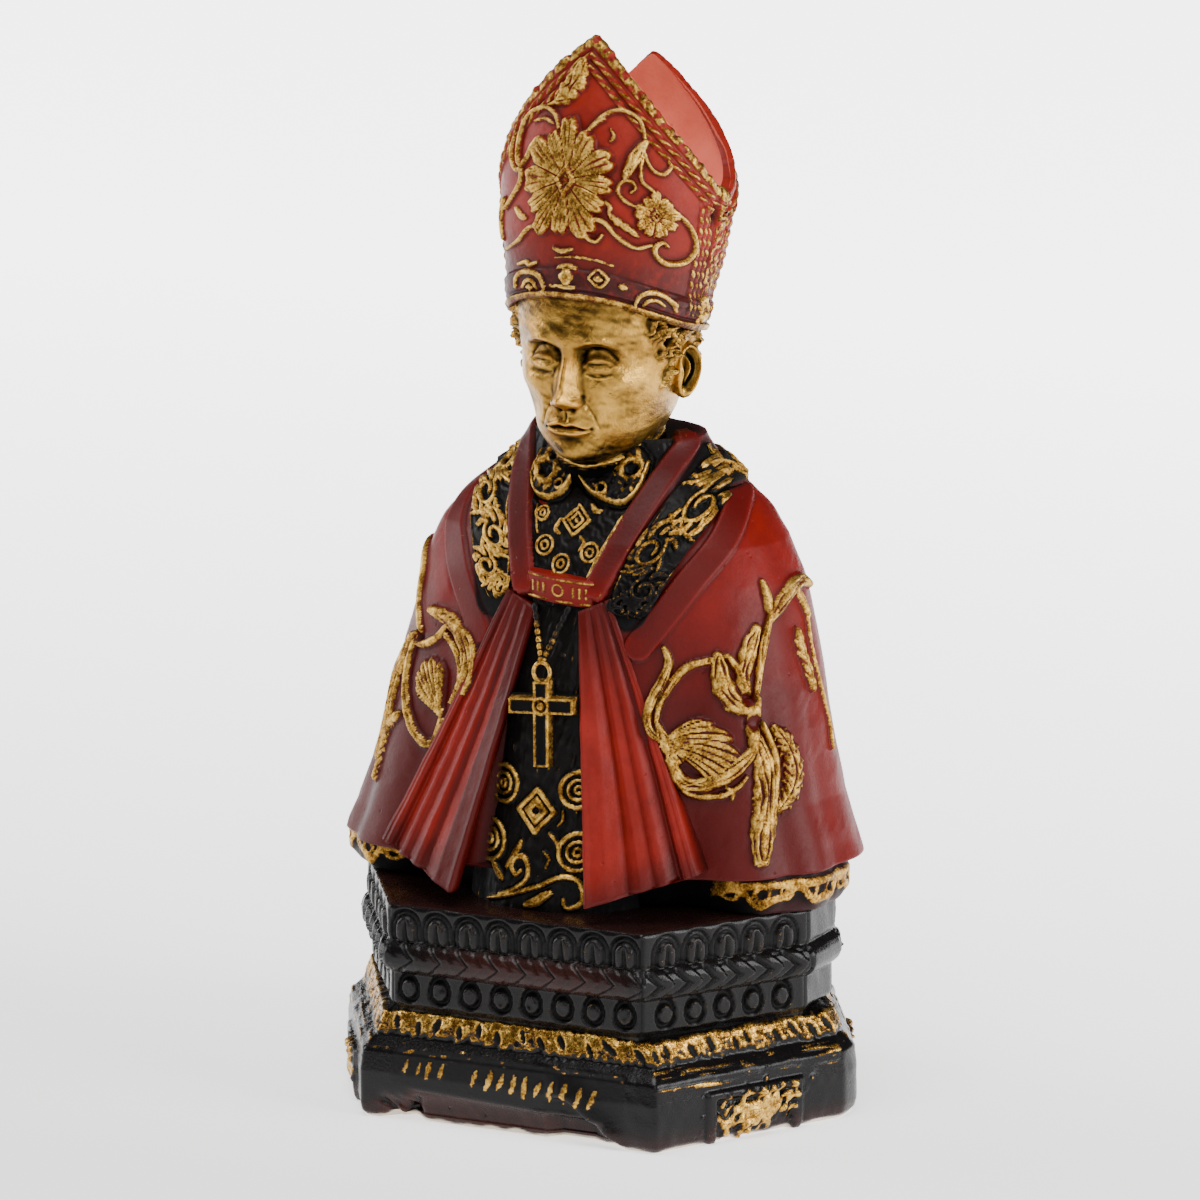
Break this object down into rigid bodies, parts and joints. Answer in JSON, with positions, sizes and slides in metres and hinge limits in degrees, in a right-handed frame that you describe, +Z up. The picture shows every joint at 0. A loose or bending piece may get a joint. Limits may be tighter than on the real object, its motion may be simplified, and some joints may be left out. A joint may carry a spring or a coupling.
{
  "type": "resin bust",
  "caption": "Painted resin bust of a bishop in mitre and red chasuble with gold scrollwork, on a dark ornamented plinth.",
  "frame": {"origin": "middle of the underside of the foot", "axes": "+Z up along the figure, -Y towards the front, +X towards the figure's left hand"},
  "size_m": [0.0624, 0.0482, 0.12],
  "materials": {
    "painted_resin": "satin"
  },
  "bodies": {
    "root": {"bishop_bust": "painted_resin"}
  },
  "joints": []
}
